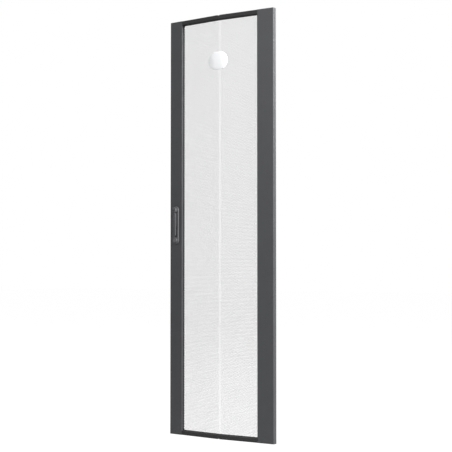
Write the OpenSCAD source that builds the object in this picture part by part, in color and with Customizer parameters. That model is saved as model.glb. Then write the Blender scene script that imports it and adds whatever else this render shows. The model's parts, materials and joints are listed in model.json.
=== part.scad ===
// Perforated equipment rack door: folded frame, creased perforated panel, swing handle with
// rack and pinion latch rods, and lift-out hinges with a sprung upper pin.
// The origin is on the hinge axis, at the shoulder of the lower hinge pin. +Z is up and the
// front of the door faces -Y.

/* [Door] */
// Overall width across the outer edges
door_w = 597; // [480:1:800]
// Overall height
door_h = 1970; // [1300:5:2400]
// How far the centre crease stands forward of the outer edges
ridge_rise = 17.5; // [6:0.5:30]
// Depth of the folded side flanges
frame_depth = 24; // [22:0.5:40]
// Thickness of the frame's steel sheet
sheet_t = 1.5; // [1:0.1:2]
// Inner radius of the frame's bends
bend_r = 1.5; // [0.5:0.1:2.5]

/* [Frame] */
// Width of the latch stile's face
latch_stile_w = 75; // [72:1:110]
// Width of the hinge stile's face
hinge_stile_w = 87; // [60:1:120]
// Height of the top and bottom rails' faces
rail_h = 20; // [18:0.5:60]
// Width of the lips along the frame's back edges
back_lip = 12; // [6:0.5:14]
// Width of the lips on the stiles that carry the panel
seat_lip = 13.5; // [10:0.5:14]
// Width of the lips on the rails that carry the panel
rail_seat_lip = 11; // [8:0.5:14]
// Width of the bend relief at the crease
relief_w = 12; // [4:0.5:30]
// Height of the bend relief at the crease
relief_h = 6; // [3:0.5:8]
// Height of the gap in the back lip behind each hinge
hinge_window_h = 70; // [50:1:120]

/* [Perforated panel] */
// Thickness of the perforated sheet
panel_t = 1.2; // [0.8:0.1:2]
// How far the panel lies behind the frame's face
panel_recess = 14; // [13:0.5:16]
// How far the panel runs behind each stile
stile_lap = 12.5; // [9:0.5:13]
// How far the panel runs behind each rail
rail_lap = 10; // [6:0.5:11]
// Width of a hexagonal hole across its flats
hole_flats = 43; // [36:0.5:60]
// Width of the web between two holes
hole_web = 6.5; // [3:0.5:12]
// Plain strip inside the frame's edges
edge_land = 4; // [1:0.5:12]

/* [Panel rivets] */
// Diameter of a rivet's shank
rivet_d = 4; // [3:0.1:4.8]
// Diameter of a rivet's head
rivet_head_d = 8; // [6:0.1:9]
// Spacing of the rivets up the stiles
rivet_pitch = 156; // [100:1:300]

/* [Badge] */
// Width of the plain badge
badge_w = 108; // [70:1:140]
// Height of the plain badge
badge_h = 86; // [50:1:120]
// Thickness of the badge's face
badge_t = 6; // [3:0.5:10]
// Length of the badge's boss, from the panel's crease to the face
badge_stand = 13; // [8:0.5:30]
// Diameter of the badge's stud
badge_stud_d = 8; // [5:0.5:12]
// Distance from the door's top to the middle of the badge
badge_drop = 215; // [120:1:500]

/* [Handle] */
// Distance from the latch edge to the handle's spindle
handle_inset = 38; // [37:0.5:40]
// Height of the spindle above the door's bottom edge
handle_h = 1064; // [700:1:1200]
// Width of the handle's base
base_w = 38; // [34:0.5:44]
// Thickness of the handle's base
base_t = 6; // [5:0.1:12]
// How much the base's edge tapers in
base_taper = 1.5; // [0.5:0.1:4]
// Thickness of the gasket under the base
gasket_t = 0.8; // [0.5:0.1:2]
// Distance from the spindle down to the lock
lock_drop = 144; // [138:1:170]
// Diameter of the lock cylinder
lock_d = 16; // [12:0.5:18]
// How far the lock's boss stands out of the base
lock_rise = 5; // [2:0.5:9]
// Diameter of the hub's head
hub_d = 28; // [26:0.5:32]
// Height of the hub's head
hub_rise = 13; // [12.5:0.5:18]
// Diameter of the hub's shaft
shaft_d = 16; // [14:0.5:20]
// Width of the square drive
square_w = 8; // [6:0.5:9]
// Distance from the spindle to the lever's free end
lever_len = 124; // [90:1:126]
// Width of the lever at the hub
lever_w = 17; // [13:0.5:20]
// Width of the lever at its free end
lever_tip_w = 13; // [9:0.5:18]
// Thickness of the lever at the hub
lever_t = 9.7; // [8.5:0.1:10]
// Thickness of the lever at its free end
lever_tip_t = 6.5; // [4:0.1:8]
// Thickness of the lever's tongue
tongue_w = 10; // [7:0.5:12]
// Diameter of the pin that the lever lifts on
lever_pin_d = 4; // [3:0.5:5]

/* [Gearbox] */
// Module of the rack and pinion teeth
tooth_module = 2; // [1.8:0.1:2.1]
// Number of teeth on the pinion
pinion_teeth = 12; // [12]
// Pressure angle of the teeth
pressure_angle = 25; // [22:1:25]
// Play between the rack's teeth and the pinion's
backlash = 0.4; // [0.3:0.05:0.6]
// Thickness of the gearbox's floor
box_floor = 2.5; // [2:0.1:3]
// Thickness of the gearbox's side walls
box_wall = 2.3; // [1.5:0.1:2.4]
// Height of the gearbox
box_h = 68; // [64:1:80]
// Thickness of the gearbox's cover
cover_t = 4; // [3.5:0.1:6]
// Diameter of the pinion's front journal
front_journal_d = 18; // [17:0.5:18]
// Diameter of the pinion's rear journal
rear_journal_d = 14; // [13.5:0.5:16]
// Length of the latch cam from the spindle to its tip
cam_len = 24; // [18:0.5:24]
// Thickness of the latch cam
cam_t = 3; // [2:0.1:4]

/* [Latch rods] */
// Width of a latch rod
rod_w = 10; // [9:0.5:10]
// Thickness of a latch rod
rod_t = 6; // [4:0.5:6]
// Distance from the sheet's back to the rods
rod_stand = 5.8; // [4.5:0.1:6]
// Distance from the door's end to the tip of each rod
rod_end_gap = 40; // [30:1:80]
// Diameter of the rollers
roller_d = 14; // [12:0.5:16]
// Width of the rollers
roller_w = 6; // [4:0.5:6]
// Diameter of the rollers' pins
roller_pin_d = 3.5; // [2.5:0.5:3.5]
// Distance from a rod's tip to its roller's pin
roller_inset = 10; // [8:0.5:16]
// Height of each rod guide
guide_h = 16; // [10:1:30]
// Distance from the door's end to the outer guides
end_guide_gap = 110; // [90:1:200]
// Distance from the spindle to the inner guides
mid_guide_gap = 330; // [250:1:400]

/* [Hinges] */
// Distance from the door's end to each hinge pin's shoulder
hinge_end_gap = 60; // [60:1:150]
// Distance from the hinge edge to the pin
hinge_inset = 14; // [14:0.5:18]
// Distance from the door's face to the pin
hinge_back = 14; // [13.5:0.5:15]
// Diameter of the hinge pins
hinge_pin_d = 8; // [6:0.5:9]
// How far each hinge pin stands out of its bracket
pin_reach = 14; // [10:0.5:20]
// Diameter of the lower pin's riveted shank
pin_shank_d = 6; // [4:0.5:7]
// Diameter of the sprung pin where the bracket guides it
guided_pin_d = 9; // [9:0.1:9.2]
// Thickness of the hinge brackets
bracket_t = 3; // [2:0.1:4]
// Width of the hinge brackets
bracket_w = 30; // [29:0.5:34]
// Height of the lower hinge bracket
lower_bracket_h = 45; // [44:1:70]
// Height of the upper hinge bracket
upper_bracket_h = 50; // [46:1:60]
// Diameter of the collar on the sprung pin
collar_d = 13; // [12:0.5:13]
// Diameter of the knob on the sprung pin
knob_d = 13; // [10:0.5:13]
// Length of the knob
knob_len = 12; // [8:0.5:20]
// Diameter of the spring's wire
spring_wire_d = 1.3; // [0.8:0.1:1.4]
// Number of turns in the spring
spring_turns = 7; // [4:1:9]

/* [Small parts] */
// Diameter of the weld studs and their nuts' threads
stud_d = 5; // [4:0.5:5]
// Width of a nut across its flats
nut_flats = 8; // [7:0.5:8.5]
// Thickness of a nut
nut_t = 4; // [2.5:0.1:4]
// Diameter of the earth stud
earth_d = 6; // [5:0.5:8]
// Height of the earth stud above the door's bottom edge
earth_h = 190; // [160:1:400]
// Distance from the door's ends to the outer bumpers
bumper_gap = 210; // [180:1:400]
// Diameter of the bumpers
bumper_d = 10; // [8:0.5:11]
// How far the bumpers stand behind the door
bumper_t = 3; // [2:0.5:8]

/* [Hidden] */
$fn = 48;

// Clearances
run_gap = 0.05;        // radial play of turning and sliding round parts
slide_gap = 0.2;       // play round sliding flat parts
free_gap = 0.3;        // gap between parts that pass each other
hole_gap = 0.3;        // radial play of parts that only pass through a hole
over = 1;              // how far cutting tools run past what they cut

// Facets: each half of the door's face lies on a plane turned by facet_a
half_w = door_w / 2;
facet_a = atan(ridge_rise / half_w);
facet_len = norm([half_w, ridge_rise]);

// Hinge axis in the door's own frame, from the middle of the bottom edge
hinge_u = half_w - hinge_inset * cos(facet_a) - hinge_back * sin(facet_a);
hinge_v = hinge_back * cos(facet_a) - hinge_inset * sin(facet_a);

// Panel
zone_bottom = rail_h + edge_land;
zone_h = door_h - 2 * zone_bottom;
hole_pitch = hole_flats + hole_web;
hole_r = hole_flats / sqrt(3);
row_count = floor((zone_h - 2 * hole_r) / (hole_pitch * sqrt(3) / 2)) + 1;
row_step = (zone_h - 2 * hole_r) / (row_count - 1);
least_hole_w = 8;
badge_z = door_h - badge_drop;
badge_boss_d = badge_stud_d * 2.5;
badge_keep = badge_boss_d / 2 + 2;

// Rivets
rivet_hole_r = rivet_d / 2 + run_gap;
rivet_head_t = 1.2;
rivet_bulb_t = 2.4;
rivet_bulb_d = rivet_d * 1.4;
rivet_end_gap = 30;
rivet_span = door_h - 2 * rail_h - 2 * rivet_end_gap;
rivet_rows = floor(rivet_span / rivet_pitch);
rivet_step = rivet_span / rivet_rows;

// Handle, with y measured back from the stile's face and z up from the spindle
base_r = base_w / 2;
base_front = -gasket_t - base_t;
head_back = base_front - free_gap;
head_front = head_back - hub_rise;
shaft_r = shaft_d / 2;
lever_back = base_front - 0.5;
lever_front = lever_back - lever_t;
lever_pin_y = (lever_back + lever_front) / 2 - 2;
lever_pin_z = -3;
tongue_r = 4.6;
lever_top = hub_d / 2 + 1.5;
fork_gap = 0.2;
lock_r = lock_d / 2;
lock_boss_r = lock_r + 5;
lock_sleeve_r = lock_r + 2;
lock_front = base_front - lock_rise;
lock_back = 9.6;
lock_cam_t = 2;
lock_tail_w = 5;
boss_r = 5;
boss_drops = [52, 116];
handle_screw_r = 2;

// Gearbox, in the handle's frame
pitch_r = tooth_module * pinion_teeth / 2;
tip_r = pitch_r + tooth_module;
root_r = pitch_r - 1.25 * tooth_module;
tooth_pitch = PI * tooth_module;
rod_y = sheet_t + rod_stand;
rod_in = pitch_r - tooth_module;
rod_root = pitch_r + 1.25 * tooth_module;
rod_out = rod_in + rod_w;
rod_mid = (rod_in + rod_out) / 2;
rack_teeth = 6;
rack_low = -tooth_pitch;
rod_travel = pitch_r * PI / 2;
box_half_w = rod_out + slide_gap + box_wall;
box_half_h = box_h / 2;
box_back = rod_y + rod_t + slide_gap;
cover_back = box_back + cover_t;
rack_end = rack_low - rod_travel - over;
cam_front = cover_back + free_gap;
cam_back = cam_front + cam_t;
spindle_end = cam_back - slide_gap;
washer_t = 1.2;
spindle_screw_r = 2;
ear_r = 6;
low_ear = [-box_half_w - 5, -box_half_h + 8];
stud_r = stud_d / 2;
stud_len = 8;
small_stud_r = 2;
cover_ear = [box_half_w + 4.5, 30];
cover_ear_front = panel_recess + panel_t + slide_gap;
cover_screw_r = 2;
cover_screw_z = 24;

// Rods and guides
upper_rod_len = door_h - handle_h - rod_end_gap;
lower_rod_len = handle_h - rod_end_gap;
roller_pin_r = roller_pin_d / 2;
pin_head_t = 1.5;
guide_wall = 2;
guide_front = sheet_t;
guide_back = rod_y + rod_t + slide_gap + guide_wall;
guide_foot_t = 3;
guide_stud_x = 18;

// Hinges, with y measured back from the stile's face
pin_r = hinge_pin_d / 2;
guided_r = guided_pin_d / 2;
pin_tip = 1.5;
hinge_studs = [16, 34];
upper_hinge_h = door_h - hinge_end_gap;
leg_y = sheet_t + bracket_t;
tab_reach = hinge_back + 8;
bracket_out = -hinge_inset + bracket_w / 3;
bracket_in = bracket_out - bracket_w;
hinge_stud_x = bracket_in + 7;
collar_t = 3;
collar_top = -bracket_t - free_gap;
knob_top = -upper_bracket_h - free_gap;
spring_r = collar_d / 2 - spring_wire_d / 2 - 0.2;
spring_top = collar_top - collar_t;
spring_low = -upper_bracket_h + bracket_t;

// ---- Frames of reference ----

// The door's own frame: origin in the middle of the bottom edge, on the line between the
// outer edges
module on_door() {
  translate([-hinge_u, -hinge_v, -hinge_end_gap]) children();
}

// The latch stile's face: x along the face, y back into the door, origin on the outer edge
module on_latch_face(s, h) {
  on_door() translate([-half_w, 0, h]) rotate([0, 0, -facet_a]) translate([s, 0, 0]) children();
}

// The hinge stile's face, with x growing towards the outer edge
module on_hinge_face(s, h) {
  on_door() translate([half_w, 0, h]) rotate([0, 0, facet_a]) translate([-s, 0, 0]) children();
}

module on_handle() {
  on_latch_face(handle_inset, handle_h) children();
}

// ---- Shared shapes ----

// A cylinder along y, from y0 to y1
module pin_y(x, z, r, y0, y1) {
  translate([x, y1, z]) rotate([90, 0, 0]) cylinder(h = y1 - y0, r = r);
}

// A cylinder along x, from x0 to x1
module pin_x(y, z, r, x0, x1) {
  translate([x0, y, z]) rotate([0, 90, 0]) cylinder(h = x1 - x0, r = r);
}

// A plate drawn in x and z, from y0 to y1
module plate_xz(y0, y1) {
  translate([0, y1, 0]) rotate([90, 0, 0]) linear_extrude(y1 - y0) children();
}

// A plate drawn in y and z, from x0 to x1
module plate_yz(x0, x1) {
  translate([x0, 0, 0]) rotate([90, 0, 90]) linear_extrude(x1 - x0) children();
}

// A nut with its axis along y
module nut_y(x, z, flats, bore_r, y0, y1) {
  difference() {
    plate_xz(y0, y1) translate([x, z]) circle(r = flats / sqrt(3), $fn = 6);
    pin_y(x, z, bore_r, y0 - over, y1 + over);
  }
}

// The outline of a folded sheet of thickness t along a path of its middle line, with rounded
// bends of inner radius r
function heading(a, b) = (b - a) / norm(b - a);
function to_left(v) = [-v[1], v[0]];
function turned(v, a) = [v[0] * cos(a) - v[1] * sin(a), v[0] * sin(a) + v[1] * cos(a)];
function bend_angle(a, b) = atan2(a[0] * b[1] - a[1] * b[0], a * b);
function bend_arc(p0, p1, p2, r, k) =
  let (a = heading(p0, p1), b = heading(p1, p2), turn = bend_angle(a, b), hand = sign(turn),
       c = p1 - a * r * tan(abs(turn) / 2) + to_left(a) * hand * r, steps = 4)
  [for (j = [0:steps]) c - turned(to_left(a), turn * j / steps) * hand * (r - hand * k)];
function sheet_side(path, r, k) =
  let (n = len(path))
  concat(
    [path[0] + to_left(heading(path[0], path[1])) * k],
    [for (i = [1:n - 2]) for (p = bend_arc(path[i - 1], path[i], path[i + 1], r, k)) p],
    [path[n - 1] + to_left(heading(path[n - 2], path[n - 1])) * k]);
function backwards(list) = [for (i = [len(list) - 1:-1:0]) list[i]];
module folded_sheet(path, t, r) {
  polygon(concat(sheet_side(path, r + t / 2, t / 2), backwards(sheet_side(path, r + t / 2, -t / 2))));
}

// Both halves of a creased piece. The child is drawn on the right half's face, with x growing
// outwards from the crease, and each half stops at the crease and at its own reach.
module half_face(reach) {
  intersection() {
    translate([0, -ridge_rise, 0]) rotate([0, 0, facet_a]) children();
    translate([0, -2 * ridge_rise, -over]) {
      cube([reach, 3 * ridge_rise + 2 * frame_depth, door_h + 2 * over]);
    }
  }
}

// ---- Frame ----

function face_v(s) = -ridge_rise * s / half_w;
function seat_v(s) = face_v(s) + panel_recess / cos(facet_a);

// Section of a stile in plan, with s inwards from the outer edge
module stile_section(w) {
  e = sheet_t / 2;
  skew_e = e / cos(facet_a);
  folded_sheet([
    [back_lip, frame_depth - e],
    [e, frame_depth - e],
    [e, face_v(e) + skew_e],
    [w - e, face_v(w - e) + skew_e],
    [w - e, seat_v(w - e) - skew_e],
    [w - seat_lip, seat_v(w - seat_lip) - skew_e]
  ], sheet_t, bend_r);
}

// The folded ends that close a stile at the top and the bottom
module stile_ends(w) {
  for (z = [0, door_h - sheet_t]) {
    translate([0, 0, z]) linear_extrude(sheet_t) polygon([
      [sheet_t, face_v(sheet_t) + sheet_t],
      [w - sheet_t, face_v(w - sheet_t) + sheet_t],
      [w - sheet_t, frame_depth + face_v(w)],
      [sheet_t, frame_depth - sheet_t]
    ]);
  }
}

module stile_profile(w) {
  linear_extrude(door_h) stile_section(w);
  stile_ends(w);
}

module rivet_heights() {
  for (i = [0:rivet_rows]) {
    translate([0, 0, rail_h + rivet_end_gap + i * rivet_step]) children();
  }
}

module latch_stile() color("#3d3e40") {
  difference() {
    union() {
      on_door() translate([-half_w, 0, 0]) stile_profile(latch_stile_w);
      // weld studs for the gearbox and the rod guides
      on_handle() {
        pin_y(low_ear[0], low_ear[1], small_stud_r, sheet_t / 2, sheet_t + stud_len);
        guide_places() pin_y(0, 0, small_stud_r, sheet_t / 2, sheet_t + stud_len);
      }
    }
    on_handle() {
      pin_y(0, 0, shaft_r + 1, -over, sheet_t + over);
      pin_y(0, -lock_drop, lock_sleeve_r + hole_gap, -over, sheet_t + over);
      for (d = boss_drops) {
        pin_y(0, -d, boss_r + hole_gap, -over, sheet_t + over);
      }
      pin_y(
        cover_ear[0], cover_ear[1], cover_screw_r + run_gap, panel_recess - 2 * sheet_t, panel_recess + over
      );
    }
    on_latch_face(latch_stile_w - seat_lip / 2, 0) rivet_heights() {
      pin_y(0, 0, rivet_hole_r, panel_recess - 2 * sheet_t, panel_recess + over);
    }
    for (h = bumper_heights) {
      on_door() pin_y(
        bumper_x, h, bumper_neck_r + run_gap, frame_depth - 2 * sheet_t, frame_depth + over
      );
    }
  }
}

module hinge_stile() color("#434446") {
  difference() {
    union() {
      on_door() translate([half_w, 0, 0]) mirror([1, 0, 0]) stile_profile(hinge_stile_w);
      on_hinge_face(hinge_inset, 0) hinge_stud_places() {
        pin_y(0, 0, stud_r, sheet_t / 2, leg_y + nut_t + 1);
      }
      on_hinge_face(earth_s, earth_h) pin_y(0, 0, earth_d / 2, sheet_t / 2, sheet_t + earth_len);
    }
    // gaps in the back lip, where the rack's own hinge arms reach in
    for (h = [hinge_end_gap, upper_hinge_h]) {
      on_door() translate([half_w - back_lip - over, frame_depth - 2 * sheet_t, h - hinge_window_h / 2]) {
        cube([back_lip + over - sheet_t, 2 * sheet_t + over, hinge_window_h]);
      }
    }
    on_hinge_face(hinge_stile_w - seat_lip / 2, 0) rivet_heights() {
      pin_y(0, 0, rivet_hole_r, panel_recess - 2 * sheet_t, panel_recess + over);
    }
  }
}

// Section of a rail, in depth and in height from the door's end
module rail_section() {
  e = sheet_t / 2;
  folded_sheet([
    [frame_depth - e, back_lip],
    [frame_depth - e, e],
    [e, e],
    [e, rail_h - e],
    [panel_recess - e, rail_h - e],
    [panel_recess - e, rail_h - rail_seat_lip]
  ], sheet_t, bend_r);
}

// Rivets along the rails, in the right half's face frame
rail_rivet_s = [0.3, 0.75];
module rail_rivet_places(reach) {
  for (k = rail_rivet_s) {
    translate([reach * k, 0, rail_h - rail_seat_lip / 2]) children();
  }
}

latch_reach = half_w - latch_stile_w;
hinge_reach = half_w - hinge_stile_w;

module rail_half(reach) {
  half_face(reach) difference() {
    plate_yz(-over * 5, facet_len) rail_section();
    rail_rivet_places(reach) pin_y(0, 0, rivet_hole_r, panel_recess - 2 * sheet_t, panel_recess + over);
  }
}

module bottom_rail_shape() {
  difference() {
    union() {
      rail_half(hinge_reach);
      mirror([1, 0, 0]) rail_half(latch_reach);
    }
    // relief in the outer corner of the bend
    translate([-relief_w / 2, -2 * ridge_rise, -over]) {
      cube([relief_w, 2 * ridge_rise + frame_depth, relief_h + over]);
    }
    translate([-relief_w / 2, panel_recess - ridge_rise + over, -over]) {
      cube([relief_w, 2 * ridge_rise + frame_depth, back_lip + 2 * over]);
    }
  }
}

module bottom_rail() color("#2c2d2f") {
  on_door() bottom_rail_shape();
}

module top_rail() color("#2c2d2f") {
  on_door() translate([0, 0, door_h]) mirror([0, 0, 1]) bottom_rail_shape();
}

// ---- Perforated panel ----

// One half of the perforation pattern, with x outwards from the crease. Every other row has a
// hole on the crease, and the last hole of a row is cut off at the plain edge.
module hole_pattern(reach) {
  zone_w = reach - edge_land;
  for (row = [0:row_count - 1]) {
    z = zone_bottom + hole_r + row * row_step;
    for (x = [(row % 2) * hole_pitch / 2:hole_pitch:zone_w + hole_flats / 2 - least_hole_w]) {
      if (clear_of_badge(x, z)) {
        perforation(x, z, zone_w);
      }
    }
  }
}

// A hole is left out where the badge's boss stands on the panel
function clear_of_badge(x, z) =
  norm([max(x - hole_flats / 2, 0), max(abs(z - badge_z) - hole_r, 0)]) > badge_keep;

module perforation(x, z, zone_w) {
  if (x + hole_flats / 2 > zone_w) {
    intersection() {
      translate([x, z]) rotate(30) circle(r = hole_r, $fn = 6);
      square([zone_w, door_h]);
    }
  } else {
    translate([x, z]) rotate(30) circle(r = hole_r, $fn = 6);
  }
}

module panel_half(reach, ear_hole) {
  half_face(reach + stile_lap) difference() {
    plate_xz(panel_recess, panel_recess + panel_t) difference() {
      translate([-over, rail_h - rail_lap]) square([facet_len, door_h - 2 * (rail_h - rail_lap)]);
      hole_pattern(reach);
    }
    translate([facet_len - half_w + reach + seat_lip / 2, 0, 0]) rivet_heights() {
      pin_y(0, 0, rivet_hole_r, panel_recess - over, panel_recess + panel_t + over);
    }
    rail_rivet_places(reach) pin_y(0, 0, rivet_hole_r, panel_recess - over, panel_recess + panel_t + over);
    translate([0, 0, door_h]) mirror([0, 0, 1]) rail_rivet_places(reach) {
      pin_y(0, 0, rivet_hole_r, panel_recess - over, panel_recess + panel_t + over);
    }
    if (ear_hole) {
      translate([facet_len - handle_inset, 0, handle_h]) mirror([1, 0, 0]) {
        pin_y(
          cover_ear[0], cover_ear[1], cover_screw_r + hole_gap,
          panel_recess - over, panel_recess + panel_t + over
        );
      }
    }
  }
}

module perforated_panel() color("#3a3b3d") on_door() {
  difference() {
    union() {
      panel_half(hinge_reach, false);
      mirror([1, 0, 0]) panel_half(latch_reach, true);
    }
    pin_y(0, badge_z, badge_stud_d / 2 + run_gap, -2 * ridge_rise, frame_depth);
  }
}

// A blind rivet: its head on the panel's back and its bulb in front of the seat lip
module rivet() {
  back = panel_recess + panel_t;
  front = panel_recess - sheet_t;
  pin_y(0, 0, rivet_d / 2, front - rivet_bulb_t, back + rivet_head_t);
  pin_y(0, 0, rivet_bulb_d / 2, front - rivet_bulb_t, front);
  translate([0, back, 0]) rotate([-90, 0, 0]) {
    cylinder(h = rivet_head_t, d1 = rivet_head_d, d2 = rivet_head_d * 0.6);
  }
}

module rail_rivets(reach) {
  translate([0, -ridge_rise, 0]) rotate([0, 0, facet_a]) {
    rail_rivet_places(reach) rivet();
    translate([0, 0, door_h]) mirror([0, 0, 1]) rail_rivet_places(reach) rivet();
  }
}

module panel_rivets() color("#6c6e70") {
  on_latch_face(latch_stile_w - seat_lip / 2, 0) rivet_heights() rivet();
  on_hinge_face(hinge_stile_w - seat_lip / 2, 0) rivet_heights() rivet();
  on_door() {
    rail_rivets(hinge_reach);
    mirror([1, 0, 0]) rail_rivets(latch_reach);
  }
}

// ---- Badge: a plain oval plaque on a boss, held by a push-on ring behind the panel ----

crease_v = panel_recess / cos(facet_a) - ridge_rise;

module badge() color("#e8e9ea") on_door() {
  face_back = crease_v - badge_stand;
  end_x = (badge_w - badge_h) / 2;
  stadium_y(end_x, badge_h / 2, badge_h / 2 - 2, face_back, face_back - badge_t);
  pin_y(0, badge_z, badge_boss_d / 2, face_back - over, crease_v);
  pin_y(0, badge_z, badge_stud_d / 2, face_back - over, crease_v + panel_t + 5);
}

// A plate across x with round tapered ends, growing forwards from y0 to y1, for the badge
module stadium_y(end_x, r0, r1, y0, y1) {
  t = y0 - y1;
  translate([0, y0, badge_z]) rotate([90, 0, 0]) {
    for (x = [-end_x, end_x]) {
      translate([x, 0, 0]) cylinder(h = t, r1 = r0, r2 = r1);
    }
  }
  translate([-end_x, 0, badge_z]) rotate([90, 0, 90]) linear_extrude(2 * end_x) {
    polygon([[y0, -r0], [y0, r0], [y1, r1], [y1, -r1]]);
  }
}

module badge_clip() color("#7a7c80") on_door() {
  ring_front = crease_v + panel_t + 0.6;
  difference() {
    pin_y(0, badge_z, badge_boss_d / 2, ring_front, ring_front + 2);
    pin_y(0, badge_z, badge_stud_d / 2 + run_gap, ring_front - over, ring_front + 2 + over);
  }
}

// ---- Handle ----

// A plate with round ends between the spindle and the lock, tapering forwards
module handle_plate(r0, r1, y0, t) {
  for (z = [0, -lock_drop]) {
    translate([0, y0, z]) rotate([90, 0, 0]) cylinder(h = t, r1 = r0, r2 = r1);
  }
  translate([0, 0, -lock_drop]) linear_extrude(lock_drop) {
    polygon([[-r0, y0], [r0, y0], [r1, y0 - t], [-r1, y0 - t]]);
  }
}

module handle_base() color("#424345") on_handle() {
  dish_r = lever_w / 2 + 2;
  dish_top = -hub_d / 2 - dish_r;
  dish_low = -lock_drop + lock_boss_r + dish_r + 1;
  dish_floor = base_front + base_t * 0.4;
  difference() {
    union() {
      handle_plate(base_r, base_r - base_taper, -gasket_t, base_t);
      translate([0, base_front, -lock_drop]) rotate([90, 0, 0]) {
        cylinder(h = lock_rise, r1 = lock_boss_r, r2 = lock_boss_r - 1);
      }
      pin_y(0, -lock_drop, lock_sleeve_r, -gasket_t, lock_back);
      for (d = boss_drops) {
        pin_y(0, -d, boss_r, -gasket_t - over, sheet_t - slide_gap);
      }
    }
    // dish under the lever
    for (z = [dish_top, dish_low]) {
      pin_y(0, z, dish_r, base_front - over, dish_floor);
    }
    translate([-dish_r, base_front - over, dish_low]) {
      cube([2 * dish_r, dish_floor - base_front + over, dish_top - dish_low]);
    }
    pin_y(0, 0, shaft_r + run_gap, base_front - over, over);
    pin_y(0, -lock_drop, lock_r + run_gap, lock_front - over, lock_back + over);
    for (d = boss_drops) {
      pin_y(0, -d, handle_screw_r + run_gap, -gasket_t - base_t * 0.35, sheet_t);
    }
  }
}

module handle_gasket() color("#1c1c1d") on_handle() {
  difference() {
    handle_plate(base_r - 0.5, base_r - 0.5, 0, gasket_t);
    pin_y(0, 0, shaft_r + 1, -over - gasket_t, over);
    pin_y(0, -lock_drop, lock_sleeve_r + hole_gap, -over - gasket_t, over);
    for (d = boss_drops) {
      pin_y(0, -d, boss_r + hole_gap, -over - gasket_t, over);
    }
  }
}

module handle_screws() color("#8d9094") on_handle() {
  for (d = boss_drops) {
    pin_y(0, -d, handle_screw_r, -gasket_t - base_t * 0.3, sheet_t + 1);
    pin_y(0, -d, boss_r + 1.5, sheet_t, sheet_t + 1);
    difference() {
      pin_y(0, -d, 3.6, sheet_t + 1, sheet_t + 3.6);
      plate_xz(sheet_t + 2, sheet_t + 4) translate([0, -d]) circle(r = 1.7, $fn = 6);
    }
  }
}

module handle_hub() color("#4a4b4e") on_handle() {
  slot_w = tongue_w + 2 * fork_gap;
  slot_floor = lever_pin_y + tongue_r + 0.6;
  crown = 2;
  difference() {
    union() {
      pin_y(0, 0, hub_d / 2, head_front + crown, head_back);
      translate([0, head_front + crown, 0]) rotate([90, 0, 0]) {
        cylinder(h = crown, r1 = hub_d / 2, r2 = hub_d / 2 - crown * 0.8);
      }
      pin_y(0, 0, shaft_r, head_back, sheet_t);
      plate_xz(sheet_t, spindle_end) square(square_w, center = true);
    }
    // slot for the lever's tongue
    translate([-slot_w / 2, head_front - over, -hub_d]) {
      cube([slot_w, slot_floor - head_front + over, hub_d + lever_pin_z + tongue_r + 0.6]);
    }
    pin_x(lever_pin_y, lever_pin_z, lever_pin_d / 2, -hub_d, hub_d);
    pin_y(0, 0, spindle_screw_r, spindle_end - 12, spindle_end + over);
  }
}

// Side view of the lever's bar, in y and z
function lever_side() = [
  [lever_back, -lever_top],
  [lever_front + 1.2, -lever_top],
  [lever_front, -lever_top - 2.5],
  [lever_front, -lever_len * 0.45],
  [lever_back - lever_tip_t, -lever_len + 6],
  [lever_back - lever_tip_t + 1.5, -lever_len],
  [lever_back - 1.5, -lever_len],
  [lever_back, -lever_len + 9]
];

module lever_front_view() {
  tip_r = lever_tip_w / 2;
  polygon([
    [-lever_w / 2, -lever_top + over], [lever_w / 2, -lever_top + over],
    [lever_w / 2, -lever_top - 14], [tip_r, -lever_len + tip_r + 12],
    [tip_r, -lever_len + tip_r], [-tip_r, -lever_len + tip_r],
    [-tip_r, -lever_len + tip_r + 12], [-lever_w / 2, -lever_top - 14]
  ]);
  translate([0, -lever_len + tip_r]) circle(r = tip_r);
}

module handle_lever() color("#54565a") on_handle() {
  difference() {
    union() {
      intersection() {
        plate_yz(-lever_w, lever_w) polygon(lever_side());
        plate_xz(2 * lever_front, 0) lever_front_view();
      }
      // tongue in the hub's fork
      pin_x(lever_pin_y, lever_pin_z, tongue_r, -tongue_w / 2, tongue_w / 2);
      translate([-tongue_w / 2, lever_pin_y - tongue_r, -lever_top - over]) {
        cube([tongue_w, 2 * tongue_r, lever_top + over + lever_pin_z]);
      }
    }
    pin_x(lever_pin_y, lever_pin_z, lever_pin_d / 2 + run_gap, -lever_w, lever_w);
  }
}

module lever_pin() color("#a4a7ab") on_handle() {
  half = sqrt(pow(hub_d / 2, 2) - pow(abs(lever_pin_z) + lever_pin_d / 2, 2)) - 0.6;
  pin_x(lever_pin_y, lever_pin_z, lever_pin_d / 2, -half, half);
}

module lock_cylinder() color("#b7babd") on_handle() {
  key_w = 1.4;
  key_h = lock_r;
  difference() {
    union() {
      pin_y(0, -lock_drop, lock_r, lock_front - 0.5, lock_back);
      plate_xz(lock_back, lock_back + free_gap + lock_cam_t) {
        translate([0, -lock_drop]) square(lock_tail_w, center = true);
      }
    }
    translate([-key_w / 2, lock_front - over, -lock_drop - key_h / 2]) cube([key_w, over + 6, key_h]);
  }
}

module lock_cam() color("#8d9094") on_handle() {
  arm = 20;
  arm_r = 4.5;
  y0 = lock_back + free_gap;
  difference() {
    plate_xz(y0, y0 + lock_cam_t) translate([0, -lock_drop]) {
      circle(r = lock_r - 1);
      translate([-arm_r, 0]) square([2 * arm_r, arm]);
      translate([0, arm]) circle(r = arm_r);
    }
    plate_xz(y0 - over, y0 + lock_cam_t + over) translate([0, -lock_drop]) {
      square(lock_tail_w, center = true);
    }
  }
}

// ---- Gearbox ----

// Angle of an involute at radius r, from its base circle
function involute(r, base) =
  let (t = sqrt(max(pow(r / base, 2) - 1, 0)))
  t * 180 / PI - atan(t);
function polar(r, a) = [r * cos(a), r * sin(a)];

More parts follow.
